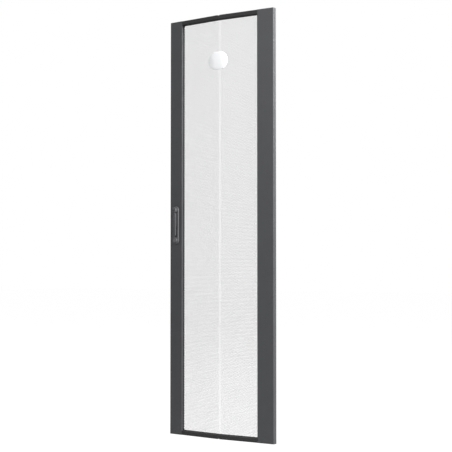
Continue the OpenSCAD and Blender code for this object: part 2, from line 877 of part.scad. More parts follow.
// Outline of the pinion, with one tooth on +x
function pinion_outline() =
  let (base = pitch_r * cos(pressure_angle), steps = 5,
       half = 90 / pinion_teeth + involute(pitch_r, base),
       radii = [for (j = [0:steps]) base + (tip_r - base) * j / steps])
  [for (i = [0:pinion_teeth - 1]) let (a = i * 360 / pinion_teeth) each concat(
    [polar(root_r, a - half)],
    [for (r = radii) polar(r, a - half + involute(r, base))],
    [for (r = backwards(radii)) polar(r, a + half - involute(r, base))],
    [polar(root_r, a + half)])];

module pinion() color("#9da0a4") on_handle() {
  face_front = sheet_t + box_floor + 0.4;
  face_back = box_back - 0.4;
  difference() {
    union() {
      plate_xz(face_front, face_back) polygon(pinion_outline());
      pin_y(0, 0, front_journal_d / 2, sheet_t + 0.1, face_front);
      pin_y(0, 0, rear_journal_d / 2, face_back, cover_back + 0.1);
    }
    plate_xz(0, cover_back + over) square(square_w + slide_gap, center = true);
  }
}

// Half section of the gearbox's hollow for one rod, open at the top end
module rod_channel() {
  translate([rod_in - slide_gap, rack_end]) {
    square([rod_w + 2 * slide_gap, box_half_h - rack_end + over]);
  }
}

module gearbox_housing() color("#6f7275") on_handle() {
  difference() {
    union() {
      plate_xz(sheet_t, box_back) {
        square([2 * box_half_w, box_h], center = true);
      }
      // ear for the weld stud
      plate_xz(sheet_t, sheet_t + box_floor) {
        translate(low_ear) circle(r = ear_r);
        translate([low_ear[0], low_ear[1] - ear_r]) square([-low_ear[0] - box_half_w + over, 2 * ear_r]);
      }
    }
    pin_y(0, 0, front_journal_d / 2 + run_gap, sheet_t - over, box_back + over);
    pin_y(0, 0, tip_r + 0.6, sheet_t + box_floor, box_back + over);
    plate_xz(rod_y - slide_gap, box_back + over) {
      mirror([1, 0]) rod_channel();
      mirror([0, 1]) rod_channel();
    }
    pin_y(low_ear[0], low_ear[1], small_stud_r + run_gap, 0, box_back);
    for (z = [-cover_screw_z, cover_screw_z]) {
      pin_y(0, z, cover_screw_r, sheet_t + box_floor, box_back + over);
    }
  }
}

module gearbox_cover() color("#7d8083") on_handle() {
  difference() {
    union() {
      plate_xz(box_back, cover_back) square([2 * box_half_w, box_h], center = true);
      // stepped ear that reaches over the panel's edge
      plate_xz(cover_ear_front, cover_back) {
        translate([box_half_w - over, cover_ear[1] - 11]) square([cover_ear[0] - box_half_w + over, 22]);
        translate([cover_ear[0], cover_ear[1] - 6]) circle(r = 5);
        translate([cover_ear[0], cover_ear[1] + 6]) circle(r = 5);
        translate([cover_ear[0] - over, cover_ear[1] - 6]) square([5 + over, 12]);
      }
    }
    pin_y(0, 0, rear_journal_d / 2 + run_gap, 0, cover_back + over);
    pin_y(cover_ear[0], cover_ear[1], cover_screw_r + run_gap, 0, cover_back + over);
    for (z = [-cover_screw_z, cover_screw_z]) {
      pin_y(0, z, cover_screw_r + run_gap, 0, cover_back + over);
      countersink(z, cover_screw_r + run_gap, over);
    }
  }
}

// The cone of a countersunk screw head, flush with the cover's back
module countersink(z, r, past) {
  depth = 2;
  translate([0, cover_back - depth, z]) rotate([-90, 0, 0]) {
    cylinder(h = depth + past, r1 = r, r2 = r + depth + past);
  }
}

module gearbox_screws() color("#8d9094") on_handle() {
  for (z = [-cover_screw_z, cover_screw_z]) {
    pin_y(0, z, cover_screw_r, box_back - 5, cover_back);
    countersink(z, cover_screw_r, 0);
  }
  // pan head screw through the cover's ear, the panel and the seat lip
  pin_y(cover_ear[0], cover_ear[1], cover_screw_r, panel_recess - sheet_t - 4, cover_back);
  pin_y(cover_ear[0], cover_ear[1], cover_screw_r + 1.8, cover_back, cover_back + 2.2);
}

module gearbox_nut() color("#8d9094") on_handle() {
  y0 = sheet_t + box_floor;
  nut_y(low_ear[0], low_ear[1], 7, small_stud_r + run_gap, y0, y0 + 3.2);
}

module latch_cam() color("#8d9094") on_handle() {
  cam_w = 14;
  difference() {
    plate_xz(cam_front, cam_back) {
      circle(r = cam_w / 2 + 1);
      translate([-cam_len + 4, -cam_w / 2]) square([cam_len - 4, cam_w]);
      polygon([
        [-cam_len + 4, -cam_w / 2], [-cam_len + 4, cam_w / 2],
        [-cam_len, cam_w / 4], [-cam_len, -cam_w / 4]
      ]);
    }
    plate_xz(cam_front - over, cam_back + over) square(square_w + slide_gap, center = true);
  }
}

module spindle_washer() color("#a4a7ab") on_handle() {
  difference() {
    pin_y(0, 0, square_w, cam_back, cam_back + washer_t);
    pin_y(0, 0, spindle_screw_r + run_gap, cam_back - over, cam_back + washer_t + over);
  }
}

module spindle_screw() color("#8d9094") on_handle() {
  y0 = cam_back + washer_t;
  pin_y(0, 0, spindle_screw_r, spindle_end - 10, y0);
  difference() {
    pin_y(0, 0, 3.8, y0, y0 + 2.8);
    plate_xz(y0 + 1.2, y0 + 3) circle(r = 1.8, $fn = 6);
  }
}

// ---- Latch rods ----

// A rod above the pinion on its +x side: a bar with rack teeth on its lower end
module rod_profile(length) {
  tip_half = (tooth_pitch / 2 - backlash) / 2 - tooth_module * tan(pressure_angle);
  root_half = (tooth_pitch / 2 - backlash) / 2 + 1.25 * tooth_module * tan(pressure_angle);
  rack_top = rack_low + rack_teeth * tooth_pitch;
  polygon(concat(
    [[rod_root, rack_low], [rod_out, rack_low], [rod_out, length], [rod_in, length],
     [rod_in, rack_top], [rod_root, rack_top]],
    [for (i = [rack_teeth - 1:-1:0]) let (c = rack_low + (i + 0.5) * tooth_pitch) each [
      [rod_root, c + root_half], [rod_in, c + tip_half],
      [rod_in, c - tip_half], [rod_root, c - root_half]
    ]]));
}

module rod_bar(length) {
  difference() {
    plate_xz(rod_y, rod_y + rod_t) rod_profile(length);
    pin_x(rod_y + rod_t / 2, length - roller_inset, roller_pin_r, 0, 2 * rod_out);
  }
}

module upper_rod() color("#8d9094") on_handle() {
  mirror([1, 0, 0]) rod_bar(upper_rod_len);
}

module lower_rod() color("#8d9094") on_handle() {
  mirror([0, 0, 1]) rod_bar(lower_rod_len);
}

// A guide for a rod whose middle is at x = 0, with its foot on the +x side
module guide_block() {
  body_r = rod_w / 2 + slide_gap + guide_wall;
  difference() {
    union() {
      translate([-body_r, guide_front, -guide_h / 2]) cube([2 * body_r, guide_back - guide_front, guide_h]);
      translate([0, guide_front, -guide_h / 2]) cube([guide_stud_x, guide_foot_t, guide_h]);
      pin_y(guide_stud_x, 0, guide_h / 2, guide_front, guide_front + guide_foot_t);
    }
    translate([-rod_w / 2 - slide_gap, rod_y - slide_gap, -guide_h]) {
      cube([rod_w + 2 * slide_gap, rod_t + 2 * slide_gap, 2 * guide_h]);
    }
    pin_y(guide_stud_x, 0, small_stud_r + run_gap, guide_front - over, guide_back);
  }
}

module upper_guide(z) {
  color("#2a2b2c") on_handle() translate([-rod_mid, 0, z]) guide_block();
}

module lower_guide(z) {
  color("#2a2b2c") on_handle() translate([rod_mid, 0, z]) mirror([1, 0, 0]) guide_block();
}

upper_end_guide_z = door_h - handle_h - end_guide_gap;
lower_end_guide_z = end_guide_gap - handle_h;

// Places of the guides' studs, in the handle's frame
module guide_places() {
  for (z = [mid_guide_gap, upper_end_guide_z]) {
    translate([guide_stud_x - rod_mid, 0, z]) children();
  }
  for (z = [-mid_guide_gap, lower_end_guide_z]) {
    translate([rod_mid - guide_stud_x, 0, z]) children();
  }
}

module guide_nuts() color("#a4a7ab") on_handle() {
  y0 = guide_front + guide_foot_t;
  guide_places() nut_y(0, 0, 7, small_stud_r + run_gap, y0, y0 + 3.2);
}

// A roller on the outer side of a rod, whose outer face is at x
module roller(x, z) {
  y = rod_y + rod_t / 2;
  difference() {
    union() {
      pin_x(y, z, roller_d / 2, x - roller_w + 0.8, x - 0.8);
      for (m = [0, 1]) {
        translate([m == 0 ? x - 0.8 : x - roller_w + 0.8, y, z]) rotate([0, m == 0 ? 90 : -90, 0]) {
          cylinder(h = 0.8, r1 = roller_d / 2, r2 = roller_d / 2 - 0.8);
        }
      }
    }
    pin_x(y, z, roller_pin_r + run_gap, x - roller_w - over, x + over);
  }
}

// The roller's pin: its head outside the roller, its tail riveted over the rod
module roller_pin(x, z) {
  y = rod_y + rod_t / 2;
  head_x = x - roller_w - 2 * free_gap;
  pin_x(y, z, roller_pin_r, head_x - pin_head_t, x + rod_w);
  pin_x(y, z, roller_pin_r + 2, head_x - pin_head_t, head_x);
  pin_x(y, z, roller_pin_r + 1, x + rod_w, x + rod_w + pin_head_t);
}

upper_roller_z = upper_rod_len - roller_inset;
lower_roller_z = roller_inset - lower_rod_len;

module upper_roller() color("#d8d9d6") on_handle() roller(-rod_out - free_gap, upper_roller_z);
module lower_roller() color("#d8d9d6") on_handle() roller(rod_in - free_gap, lower_roller_z);
module upper_roller_pin() color("#a4a7ab") on_handle() roller_pin(-rod_out, upper_roller_z);
module lower_roller_pin() color("#a4a7ab") on_handle() roller_pin(rod_in, lower_roller_z);

// ---- Hinges: x and z are measured from the pin's axis and shoulder ----

module hinge_stud_places() {
  for (z = [for (h = hinge_studs) each [hinge_end_gap + h, upper_hinge_h - h]]) {
    translate([hinge_stud_x, 0, z]) children();
  }
}

// The bore for a pin and the holes for the studs, above (side 1) or below (side -1) the shoulder
module bracket_holes(bore_r, side, depth) {
  translate([0, hinge_back, 0]) cylinder(h = depth, r = bore_r, center = true);
  for (h = hinge_studs) {
    pin_y(hinge_stud_x, side * h, stud_r + run_gap, 0, leg_y + over);
  }
}

module lower_hinge_bracket() color("#55575a") on_hinge_face(hinge_inset, hinge_end_gap) {
  e = bracket_t / 2;
  difference() {
    plate_yz(bracket_in, bracket_out) {
      folded_sheet(
        [[sheet_t + e, lower_bracket_h], [sheet_t + e, e], [tab_reach, e]], bracket_t, bracket_t / 2
      );
    }
    bracket_holes(pin_shank_d / 2, 1, 4 * bracket_t);
  }
}

module lower_hinge_pin() color("#a4a7ab") on_hinge_face(hinge_inset, hinge_end_gap) {
  translate([0, hinge_back, 0]) {
    translate([0, 0, -pin_reach]) cylinder(h = pin_tip, r1 = pin_r - pin_tip, r2 = pin_r);
    translate([0, 0, pin_tip - pin_reach]) cylinder(h = pin_reach - pin_tip, r = pin_r);
    translate([0, 0, -over]) cylinder(h = bracket_t + 2 * over, r = pin_shank_d / 2);
    translate([0, 0, bracket_t]) cylinder(h = 3, r = pin_r + 2.5);
  }
}

module upper_hinge_bracket() color("#55575a") on_hinge_face(hinge_inset, upper_hinge_h) {
  e = bracket_t / 2;
  difference() {
    plate_yz(bracket_in, bracket_out) {
      folded_sheet([
        [tab_reach, -e], [sheet_t + e, -e],
        [sheet_t + e, e - upper_bracket_h], [tab_reach, e - upper_bracket_h]
      ], bracket_t, bracket_t / 2);
    }
    bracket_holes(guided_r + run_gap, -1, 4 * upper_bracket_h);
  }
}

module upper_hinge_pin() color("#a4a7ab") on_hinge_face(hinge_inset, upper_hinge_h) {
  translate([0, hinge_back, 0]) {
    translate([0, 0, knob_top - knob_len]) cylinder(h = knob_len - knob_top, r = guided_r);
    cylinder(h = pin_reach - pin_tip, r = pin_r);
    translate([0, 0, pin_reach - pin_tip]) cylinder(h = pin_tip, r1 = pin_r, r2 = pin_r - pin_tip);
    translate([0, 0, collar_top - collar_t]) cylinder(h = collar_t, r = collar_d / 2);
  }
}

// How far up a spring its wire is at ring i, with half a flat turn at each end
function coil_rise(i, rings, flat) = min(max(i - flat / 2, 0) / (rings - flat), 1);

// Compression spring: rings of points along a helix whose ends lie flat
module hinge_spring() color("#b7babd") on_hinge_face(hinge_inset, upper_hinge_h) {
  sides = 8;
  per_turn = 16;
  rings = spring_turns * per_turn;
  wire_r = spring_wire_d / 2;
  low = spring_low + wire_r + 0.1;
  rise = spring_top - wire_r - 0.1 - low;
  points = [for (i = [0:rings]) let (a = 360 * i / per_turn) for (j = [0:sides - 1])
    let (b = 360 * j / sides, r = spring_r + wire_r * cos(b))
    [r * cos(a), r * sin(a), low + rise * coil_rise(i, rings, per_turn) + wire_r * sin(b)]];
  faces = concat(
    [[for (j = [0:sides - 1]) j]],
    [for (i = [0:rings - 1]) for (j = [0:sides - 1]) let (k = (j + 1) % sides)
      [i * sides + j, (i + 1) * sides + j, (i + 1) * sides + k, i * sides + k]],
    [[for (j = [sides - 1:-1:0]) rings * sides + j]]);
  translate([0, hinge_back, 0]) polyhedron(points, faces, convexity = 10);
}

module hinge_knob() color("#1f2021") on_hinge_face(hinge_inset, upper_hinge_h) {
  groove_h = 3;
  translate([0, hinge_back, 0]) difference() {
    union() {
      translate([0, 0, knob_top - knob_len + 1]) cylinder(h = knob_len - 1, d = knob_d);
      translate([0, 0, knob_top - knob_len]) cylinder(h = 1, d1 = knob_d - 2, d2 = knob_d);
    }
    translate([0, 0, knob_top - knob_len - over]) cylinder(h = knob_len + 2 * over, r = guided_r);
    translate([0, 0, knob_top - knob_len / 2 - groove_h / 2]) difference() {
      cylinder(h = groove_h, d = knob_d + over);
      translate([0, 0, -over]) cylinder(h = groove_h + 2 * over, d = knob_d - 1.6);
    }
  }
}

module hinge_nuts() color("#a4a7ab") {
  on_hinge_face(hinge_inset, 0) hinge_stud_places() {
    nut_y(0, 0, nut_flats, stud_r + run_gap, leg_y, leg_y + nut_t);
  }
}

// ---- Earth stud and bumpers ----

earth_s = hinge_stile_w / 2;
earth_len = 16;
earth_washer_t = 1.2;

module ground_washer() color("#b7babd") on_hinge_face(earth_s, earth_h) {
  difference() {
    pin_y(0, 0, earth_d + 0.5, sheet_t, sheet_t + earth_washer_t);
    pin_y(0, 0, earth_d / 2 + run_gap, 0, 2 * earth_len);
  }
}

module ground_nut() color("#b7babd") on_hinge_face(earth_s, earth_h) {
  y0 = sheet_t + earth_washer_t;
  nut_y(0, 0, earth_d * 1.7, earth_d / 2 + run_gap, y0, y0 + earth_d * 0.8);
}

bumper_heights = [bumper_gap, handle_h + mid_guide_gap / 2, door_h - bumper_gap];
bumper_neck_r = 2.4;
bumper_x = -half_w + back_lip / 2 + 0.5;

module bumpers() color("#161617") on_door() {
  for (h = bumper_heights) {
    translate([bumper_x, frame_depth, h]) rotate([-90, 0, 0]) {
      cylinder(h = bumper_t, d1 = bumper_d, d2 = bumper_d - 2);
      translate([0, 0, -sheet_t - 0.2]) cylinder(h = sheet_t + 0.2, r = bumper_neck_r);
      translate([0, 0, -sheet_t - 2.2]) cylinder(h = 2, r1 = bumper_neck_r - 0.6, r2 = bumper_neck_r + 1.2);
    }
  }
}

// ---- Nodes ----

latch_stile();
hinge_stile();
top_rail();
bottom_rail();
perforated_panel();
panel_rivets();
badge();
badge_clip();
handle_base();
handle_gasket();
handle_screws();
handle_hub();
handle_lever();
lever_pin();
lock_cylinder();
lock_cam();
gearbox_housing();
gearbox_cover();
gearbox_screws();
gearbox_nut();
pinion();
latch_cam();
spindle_washer();
spindle_screw();
upper_rod();
upper_guide(mid_guide_gap);  // upper_rod_guide_mid
upper_guide(upper_end_guide_z);  // upper_rod_guide_end
upper_roller();
upper_roller_pin();
lower_rod();
lower_guide(-mid_guide_gap);  // lower_rod_guide_mid
lower_guide(lower_end_guide_z);  // lower_rod_guide_end
lower_roller();
lower_roller_pin();
guide_nuts();
lower_hinge_bracket();
lower_hinge_pin();
upper_hinge_bracket();
upper_hinge_pin();
hinge_spring();
hinge_knob();
hinge_nuts();
ground_washer();
ground_nut();
bumpers();
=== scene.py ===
"""Looks of the perforated rack door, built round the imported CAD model."""

import json
import math

import bmesh
import bpy
import numpy as np
from mathutils import Matrix, Vector

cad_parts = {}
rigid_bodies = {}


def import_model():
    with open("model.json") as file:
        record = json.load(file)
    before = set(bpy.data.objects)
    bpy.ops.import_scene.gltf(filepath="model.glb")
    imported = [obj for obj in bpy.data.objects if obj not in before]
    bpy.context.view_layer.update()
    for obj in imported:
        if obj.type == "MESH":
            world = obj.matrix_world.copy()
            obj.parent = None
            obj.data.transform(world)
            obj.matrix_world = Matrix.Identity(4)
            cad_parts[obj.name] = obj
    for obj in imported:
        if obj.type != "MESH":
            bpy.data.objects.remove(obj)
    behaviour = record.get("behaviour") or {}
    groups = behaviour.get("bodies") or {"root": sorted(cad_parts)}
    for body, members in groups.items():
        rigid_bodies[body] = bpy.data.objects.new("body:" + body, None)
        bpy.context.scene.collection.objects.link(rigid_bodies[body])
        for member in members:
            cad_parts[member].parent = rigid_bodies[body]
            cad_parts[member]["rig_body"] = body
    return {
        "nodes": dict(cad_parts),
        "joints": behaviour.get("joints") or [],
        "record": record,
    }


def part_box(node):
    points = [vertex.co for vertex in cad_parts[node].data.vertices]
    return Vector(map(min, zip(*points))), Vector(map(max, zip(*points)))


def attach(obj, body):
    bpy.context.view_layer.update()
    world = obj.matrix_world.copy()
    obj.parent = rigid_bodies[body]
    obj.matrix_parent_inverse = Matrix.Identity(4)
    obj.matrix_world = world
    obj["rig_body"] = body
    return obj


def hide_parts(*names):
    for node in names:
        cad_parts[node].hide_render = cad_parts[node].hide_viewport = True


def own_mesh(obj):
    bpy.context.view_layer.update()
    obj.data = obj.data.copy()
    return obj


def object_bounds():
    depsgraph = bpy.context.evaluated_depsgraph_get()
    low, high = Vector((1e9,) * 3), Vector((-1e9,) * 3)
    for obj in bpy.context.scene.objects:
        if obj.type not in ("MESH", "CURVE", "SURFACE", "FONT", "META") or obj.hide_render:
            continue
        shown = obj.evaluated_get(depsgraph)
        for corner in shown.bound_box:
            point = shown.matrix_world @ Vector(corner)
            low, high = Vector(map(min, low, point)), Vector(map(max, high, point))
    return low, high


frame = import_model()
CAD_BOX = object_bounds()
LOW, HIGH = CAD_BOX
MM = 0.001

# ---- Frames of reference, read from the CAD ----

turn = next(j for j in frame["joints"] if j["name"] == "handle_turn")
SPINDLE = Vector(turn["pos_m"])
BACK = -Vector(turn["axis"])            # square to the latch stile's face, into the door
ACROSS = Vector((BACK.y, -BACK.x, 0))   # along that face, towards the crease
UP = Vector((0, 0, 1))
TILT = BACK.x / BACK.y                  # slope of each half of the door


def on_handle(x, y, z):
    """A point given in millimetres in the handle's frame."""
    return SPINDLE + (ACROSS * x + BACK * y + UP * z) * MM


HANDLE = Matrix.Translation(SPINDLE) @ Matrix((ACROSS, BACK, UP)).transposed().to_4x4()


# ---- Camera ----

def point_camera():
    yaw, pitch = math.radians(36.37), math.radians(2.0)
    data = bpy.data.cameras.new("camera")
    data.sensor_width = 36
    data.lens = 95.07
    data.clip_end = 100
    cam = bpy.data.objects.new("camera", data)
    cam.location = (3.0278, -4.4645, 0.7305)
    ahead = Vector((-math.sin(yaw) * math.cos(pitch), math.cos(yaw) * math.cos(pitch), math.sin(pitch)))
    cam.rotation_euler = ahead.to_track_quat("-Z", "Y").to_euler()
    bpy.context.scene.collection.objects.link(cam)
    bpy.context.scene.camera = cam


point_camera()


# ---- Materials ----

def link(tree, a, out, b, into):
    tree.links.new(a.outputs[out], b.inputs[into])


def noise_node(tree, scale, detail=4, rough=0.55):
    coord = tree.nodes.new("ShaderNodeTexCoord")
    noise = tree.nodes.new("ShaderNodeTexNoise")
    noise.inputs["Scale"].default_value = scale
    noise.inputs["Detail"].default_value = detail
    noise.inputs["Roughness"].default_value = rough
    link(tree, coord, "Object", noise, "Vector")
    return noise


def blend_colour(tree, factor, out, dark, light, low=0.35, high=0.65):
    """A colour between two, driven by a node's output."""
    ramp = tree.nodes.new("ShaderNodeValToRGB")
    ramp.color_ramp.elements[0].position = low
    ramp.color_ramp.elements[1].position = high
    ramp.color_ramp.elements[0].color = (*dark, 1)
    ramp.color_ramp.elements[1].color = (*light, 1)
    link(tree, factor, out, ramp, "Fac")
    return ramp


def finish_of(name, colour, rough, metallic=0.0, spread=0.06, grain=900, bump=0.05, depth=0.00004,
              patch=9, rough_spread=0.05, stretch=None, coat=0.0, coat_rough=0.2, ior=1.45):
    """A surface with slight patches of colour and sheen and a fine grain."""
    mat = bpy.data.materials.new(name)
    mat.use_nodes = True
    tree = mat.node_tree
    shader = tree.nodes["Principled BSDF"]
    shader.inputs["Metallic"].default_value = metallic
    shader.inputs["IOR"].default_value = ior
    shader.inputs["Coat Weight"].default_value = coat
    shader.inputs["Coat Roughness"].default_value = coat_rough
    patches = noise_node(tree, patch, 5)
    dark = tuple(c * (1 - spread) for c in colour)
    light = tuple(min(c * (1 + spread), 1) for c in colour)
    ramp = blend_colour(tree, patches, "Fac", dark, light)
    link(tree, ramp, "Color", shader, "Base Color")
    fine = noise_node(tree, grain, 3)
    if stretch:
        mapping = tree.nodes.new("ShaderNodeMapping")
        mapping.inputs["Scale"].default_value = stretch
        coord = fine.inputs["Vector"].links[0].from_node
        link(tree, coord, "Object", mapping, "Vector")
        link(tree, mapping, "Vector", fine, "Vector")
    sheen = tree.nodes.new("ShaderNodeMapRange")
    sheen.inputs["From Min"].default_value = 0.3
    sheen.inputs["From Max"].default_value = 0.7
    sheen.inputs["To Min"].default_value = rough - rough_spread
    sheen.inputs["To Max"].default_value = rough + rough_spread
    link(tree, fine, "Fac", sheen, "Value")
    link(tree, sheen, "Result", shader, "Roughness")
    relief = tree.nodes.new("ShaderNodeBump")
    relief.inputs["Strength"].default_value = bump
    relief.inputs["Distance"].default_value = depth
    link(tree, fine, "Fac", relief, "Height")
    link(tree, relief, "Normal", shader, "Normal")
    return mat


POWDER = finish_of("powder_coat", (0.032, 0.033, 0.036), 0.50, spread=0.05, grain=700, bump=0.35, depth=0.00008)
RAIL = finish_of("powder_coat_rails", (0.006, 0.006, 0.007), 0.7, spread=0.05, grain=700, bump=0.35, depth=0.00008)
MESH = finish_of("powder_coat_panel", (0.048, 0.049, 0.052), 0.55, spread=0.05, grain=700, bump=0.3, depth=0.00006)
BADGE = finish_of("badge_plastic", (0.86, 0.87, 0.88), 0.3, spread=0.01, grain=500, bump=0.05, coat=0.3)
PLASTIC = finish_of("handle_plastic", (0.052, 0.053, 0.057), 0.5, spread=0.06, grain=2400, bump=0.3)
RUBBER = finish_of("rubber", (0.02, 0.02, 0.02), 0.75, spread=0.1, grain=1500, bump=0.3)
ZINC = finish_of("zinc_plate", (0.62, 0.62, 0.60), 0.32, metallic=1, spread=0.07, grain=300, bump=0.08, patch=60)
CAST = finish_of("die_cast_zinc", (0.36, 0.36, 0.37), 0.48, metallic=0.9, spread=0.08, grain=900, bump=0.3)
SPRING = finish_of("spring_steel", (0.50, 0.49, 0.47), 0.28, metallic=1, spread=0.06, grain=1200, bump=0.1)
GUIDE = finish_of("guide_plastic", (0.035, 0.035, 0.036), 0.45, spread=0.05, grain=1800, bump=0.2)
ROLLER = finish_of("roller_plastic", (0.72, 0.71, 0.67), 0.42, spread=0.03, grain=1500, bump=0.15)
CHROME = finish_of("lock_chrome", (0.16, 0.16, 0.17), 0.32, metallic=1, spread=0.03, grain=800, bump=0.05)
BAR = finish_of("zinc_rod", (0.60, 0.60, 0.59), 0.34, metallic=1, spread=0.06, grain=260, bump=0.1,
                patch=40, stretch=(1, 1, 0.06))

BY_SLOT = {
    "powder_coat": POWDER, "badge_plastic": BADGE, "handle_plastic": PLASTIC, "gasket_rubber": RUBBER,
    "zinc_steel": ZINC, "zinc_casting": CAST, "spring_steel": SPRING, "guide_plastic": GUIDE,
    "roller_plastic": ROLLER, "lock_chrome": CHROME,
}
BY_NODE = {
    "top_rail": RAIL, "bottom_rail": RAIL, "perforated_panel": MESH, "upper_rod": BAR, "lower_rod": BAR,
}
SLOT_OF = {s["node"]: s["material_slot"] for s in frame["record"]["subparts"]}


def material_for(node):
    return BY_NODE.get(node) or BY_SLOT.get(SLOT_OF[node], POWDER)


def dress(obj, material):
    obj.data.materials.clear()
    obj.data.materials.append(material)


for name, obj in frame["nodes"].items():
    dress(obj, material_for(name))


# ---- Making pieces ----

def body_named(node):
    return frame["nodes"][node]["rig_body"]


def add_piece(name, mesh, node, stands_for=True, material=None):
    obj = bpy.data.objects.new(name, mesh)
    bpy.context.scene.collection.objects.link(obj)
    dress(obj, material or material_for(node))
    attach(obj, body_named(node))
    if stands_for:
        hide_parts(node)
    return obj


def softened(node, width, sharp=25, segments=2, material=None):
    """A copy of a CAD node with its sharp edges rounded, to stand for it."""
    bm = bmesh.new()
    bm.from_mesh(frame["nodes"][node].data)
    bmesh.ops.remove_doubles(bm, verts=bm.verts, dist=2e-6)
    bmesh.ops.dissolve_limit(bm, angle_limit=math.radians(0.6), verts=bm.verts, edges=bm.edges)
    limit = math.radians(sharp)
    edges = [e for e in bm.edges if len(e.link_faces) == 2 and e.calc_face_angle(0) > limit]
    bmesh.ops.bevel(bm, geom=edges, offset=width * MM, offset_type="OFFSET", segments=segments,
                    profile=0.6, affect="EDGES", clamp_overlap=True, loop_slide=True)
    bmesh.ops.triangulate(bm, faces=[f for f in bm.faces if len(f.verts) > 4])
    mesh = bpy.data.meshes.new(node + "_soft")
    bm.to_mesh(mesh)
    bm.free()
    mesh.shade_smooth()
    mesh.set_sharp_from_angle(angle=math.radians(35))
    return add_piece(node + "_finished", mesh, node, material=material)


# ---- Perforated panel: a lattice of hexagonal holes on each side of the crease ----

PITCH = 7.14 * MM
WEB = 0.44 * MM
CREASE_WEB = 0.12 * MM
CELL_R = PITCH / math.sqrt(3)
ROW = 1.5 * CELL_R
panel_low, panel_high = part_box("perforated_panel")
stile_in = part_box("latch_stile")[1].x
hinge_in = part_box("hinge_stile")[0].x
rail_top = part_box("bottom_rail")[1].z
rail_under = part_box("top_rail")[0].z
CREASE_X = (LOW.x + HIGH.x) / 2
PANEL_T = 1.0 * MM / math.cos(math.atan(TILT))
CREASE_Y = panel_low.y
LAND = 0.6 * MM
badge_low, badge_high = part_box("badge")
BADGE_Z = (badge_low.z + badge_high.z) / 2
BOSS_KEEP = 12 * MM

# a cell's corners in half pitches across and half radii up, counter-clockwise seen from the front
CORNERS = [(1, 1), (0, 2), (-1, 1), (-1, -1), (0, -2), (1, -1)]
# the cell across the side that runs from corner k to corner k + 1
ACROSS_SIDE = [(1, 1), (-1, 1), (-2, 0), (-1, -1), (1, -1), (2, 0)]


class Sheet:
    """Points on the creased sheet, each with one point in front and one behind."""

    def __init__(self):
        self.points = []
        self.faces = []
        self.known = {}

    def point(self, x, z, key=None):
        if key is not None and key in self.known:
            return self.known[key]
        self.points.append((x, z))
        if key is not None:
            self.known[key] = len(self.points) - 1
        return len(self.points) - 1

    def plate(self, *ids):
        """A face in front and the same face behind."""
        self.faces.append([2 * i for i in ids])
        self.faces.append([2 * i + 1 for i in reversed(ids)])

    def wall(self, a, b):
        """A wall between front and back along a to b, facing the left of a to b."""
        self.faces.append([2 * a, 2 * b, 2 * b + 1, 2 * a + 1])

    def mesh(self, name):
        verts = []
        for x, z in self.points:
            y = CREASE_Y + abs(x - CREASE_X) * TILT
            verts += [(x, y, z), (x, y + PANEL_T, z)]
        mesh = bpy.data.meshes.new(name)
        mesh.from_pydata(verts, [], self.faces)
        mesh.validate()
        return mesh


def lattice_cells():
    """Open and closed cells, as column and row numbers in half pitches and rows."""
    z0 = rail_top + LAND + CELL_R
    rows = int((rail_under - LAND - CELL_R - z0) / ROW) + 1
    z0 += (rail_under - LAND - CELL_R - z0 - (rows - 1) * ROW) / 2
    left = int((CREASE_X - stile_in - LAND) / (PITCH / 2))
    right = int((hinge_in - LAND - CREASE_X) / (PITCH / 2))
    cells = [(c, r) for r in range(rows) for c in range(-left + 1, right) if (c + r) % 2 == 0]
    return cells, z0, rows


CELLS, ROW_Z, ROWS = lattice_cells()
CELL_SET = set(CELLS)


def cell_centre(c, r):
    return CREASE_X + c * PITCH / 2, ROW_Z + r * ROW


def is_open(cell):
    if cell not in CELL_SET:
        return False
    x, z = cell_centre(*cell)
    return math.hypot(x - CREASE_X, z - BADGE_Z) > BOSS_KEEP


def corner_point(sheet, cell, k):
    c, r = cell
    dx, dz = CORNERS[k]
    key = (c + dx, 3 * r + dz)
    return sheet.point(CREASE_X + key[0] * PITCH / 2, ROW_Z + key[1] * CELL_R / 2, key)


def hole_points(sheet, cell):
    """The corners of the hole in a cell."""
    c, r = cell
    x, z = cell_centre(c, r)
    share = 1 - (CREASE_WEB if abs(c) <= 1 else WEB) / PITCH
    return [
        sheet.point(x + dx * PITCH / 2 * share, z + dz * CELL_R / 2 * share, (c, r, k))
        for k, (dx, dz) in enumerate(CORNERS)
    ]


